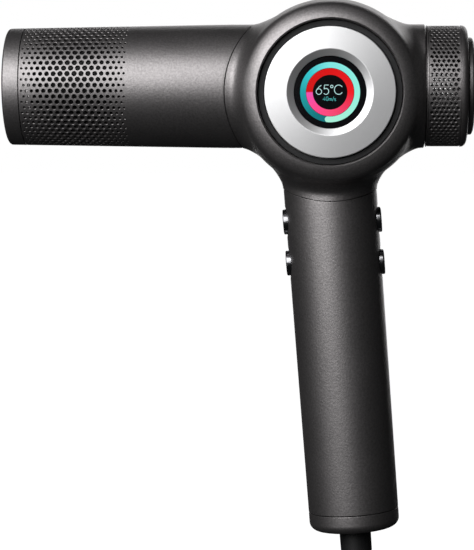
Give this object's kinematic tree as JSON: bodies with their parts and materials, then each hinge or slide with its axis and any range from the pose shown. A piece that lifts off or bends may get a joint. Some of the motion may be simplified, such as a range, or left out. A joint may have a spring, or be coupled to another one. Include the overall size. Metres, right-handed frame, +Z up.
{
  "type": "hair dryer",
  "caption": "Handheld hair dryer: a straight barrel and a round hub with a display ring on a slim upright handle, with side buttons, a pull-off rear filter and a mains cord in a hank.",
  "frame": {"origin": "middle of the grip, on the handle's axis, where a hand holds it", "axes": "-X is where the air leaves, -Y is the display side, +Z is up with the handle hanging down, leaning 4.4 degrees to the rear"},
  "size_m": [0.1935, 0.065, 0.5113],
  "materials": {
    "gunmetal_paint": "satin metallic paint with a fine grain",
    "satin_silver": "satin",
    "display_glass": "gloss",
    "black_plastic": "matte",
    "polished_button": "polished metal plating",
    "steel_parts": "satin",
    "filter_mesh_steel": "woven mesh",
    "mica_sheet": "matte",
    "heater_wire": "satin",
    "white_plastic": "matte",
    "circuit_board": "satin",
    "soft_rubber": "matte",
    "cast_aluminium": "satin",
    "stator_steel": "satin",
    "cord_rubber": "satin",
    "tie_fabric": "woven",
    "pin_brass": "polished, nickel plated"
  },
  "bodies": {
    "body": {"outlet_ring": "gunmetal_paint", "barrel_shell": "gunmetal_paint", "hub_housing": "gunmetal_paint", "hub_back_cover": "gunmetal_paint", "handle_shell": "gunmetal_paint", "handle_bottom_cap": "gunmetal_paint", "display_bezel": "satin_silver", "display_lens": "display_glass", "display_surround": "black_plastic", "outlet_grille": "black_plastic", "air_guide": "black_plastic", "motor_duct": "black_plastic", "rear_seat_ring": "black_plastic", "handle_chassis": "black_plastic", "cord_clamp": "black_plastic", "display_module": "black_plastic", "ion_module": "black_plastic", "button_seat_front_upper": "black_plastic", "button_seat_front_lower": "black_plastic", "button_seat_rear_upper": "black_plastic", "button_seat_rear_lower": "black_plastic", "ion_emitter": "steel_parts", "bearing_front": "steel_parts", "bearing_rear": "steel_parts", "clamp_screw_front": "steel_parts", "clamp_screw_rear": "steel_parts", "thermostat": "steel_parts", "heater_sleeve": "mica_sheet", "mica_board_upright": "mica_sheet", "mica_board_level": "mica_sheet", "heater_coil_front": "heater_wire", "heater_coil_rear": "heater_wire", "thermal_fuse": "white_plastic", "display_board": "circuit_board", "button_board_front": "circuit_board", "button_board_rear": "circuit_board", "control_board": "circuit_board", "power_board": "circuit_board", "motor_mount_front": "soft_rubber", "motor_mount_rear": "soft_rubber", "motor_housing": "cast_aluminium", "motor_stator": "stator_steel", "strain_relief": "cord_rubber", "cord_lead": "cord_rubber", "cord_hank": "cord_rubber", "cord_tail": "cord_rubber", "plug_body": "cord_rubber", "cord_tie": "tie_fabric", "plug_pin_left": "pin_brass", "plug_pin_right": "pin_brass"},
    "rotor": {"rotor_shaft": "steel_parts", "rotor_magnet": "stator_steel", "impeller": "cast_aluminium"},
    "filter": {"filter_cage": "gunmetal_paint", "filter_mesh": "filter_mesh_steel", "filter_end_cap": "gunmetal_paint"},
    "button_front_upper": {"button_front_upper": "polished_button"},
    "button_front_lower": {"button_front_lower": "polished_button"},
    "button_rear_upper": {"button_rear_upper": "polished_button"},
    "button_rear_lower": {"button_rear_lower": "polished_button"}
  },
  "joints": [
    {"name": "rotor_spin", "type": "hinge", "parent": "body", "child": "rotor", "pos_m": [-0.0053, 0, 0.11488], "axis": [1, 0, 0], "continuous": true},
    {"name": "filter_pull", "type": "slide", "parent": "body", "child": "filter", "axis": [1, 0, 0], "range_m": [0, 0.03]},
    {"name": "button_front_upper_press", "type": "slide", "parent": "body", "child": "button_front_upper", "axis": [0.9971, 0, 0.0759], "range_m": [0, 0.0008], "stiffness_N_per_m": 1200, "springref_m": -0.0006},
    {"name": "button_front_lower_press", "type": "slide", "parent": "body", "child": "button_front_lower", "axis": [0.9971, 0, 0.0759], "range_m": [0, 0.0008], "stiffness_N_per_m": 1200, "springref_m": -0.0006},
    {"name": "button_rear_upper_press", "type": "slide", "parent": "body", "child": "button_rear_upper", "axis": [-0.9971, 0, -0.0759], "range_m": [0, 0.0008], "stiffness_N_per_m": 1200, "springref_m": -0.0006},
    {"name": "button_rear_lower_press", "type": "slide", "parent": "body", "child": "button_rear_lower", "axis": [-0.9971, 0, -0.0759], "range_m": [0, 0.0008], "stiffness_N_per_m": 1200, "springref_m": -0.0006}
  ]
}
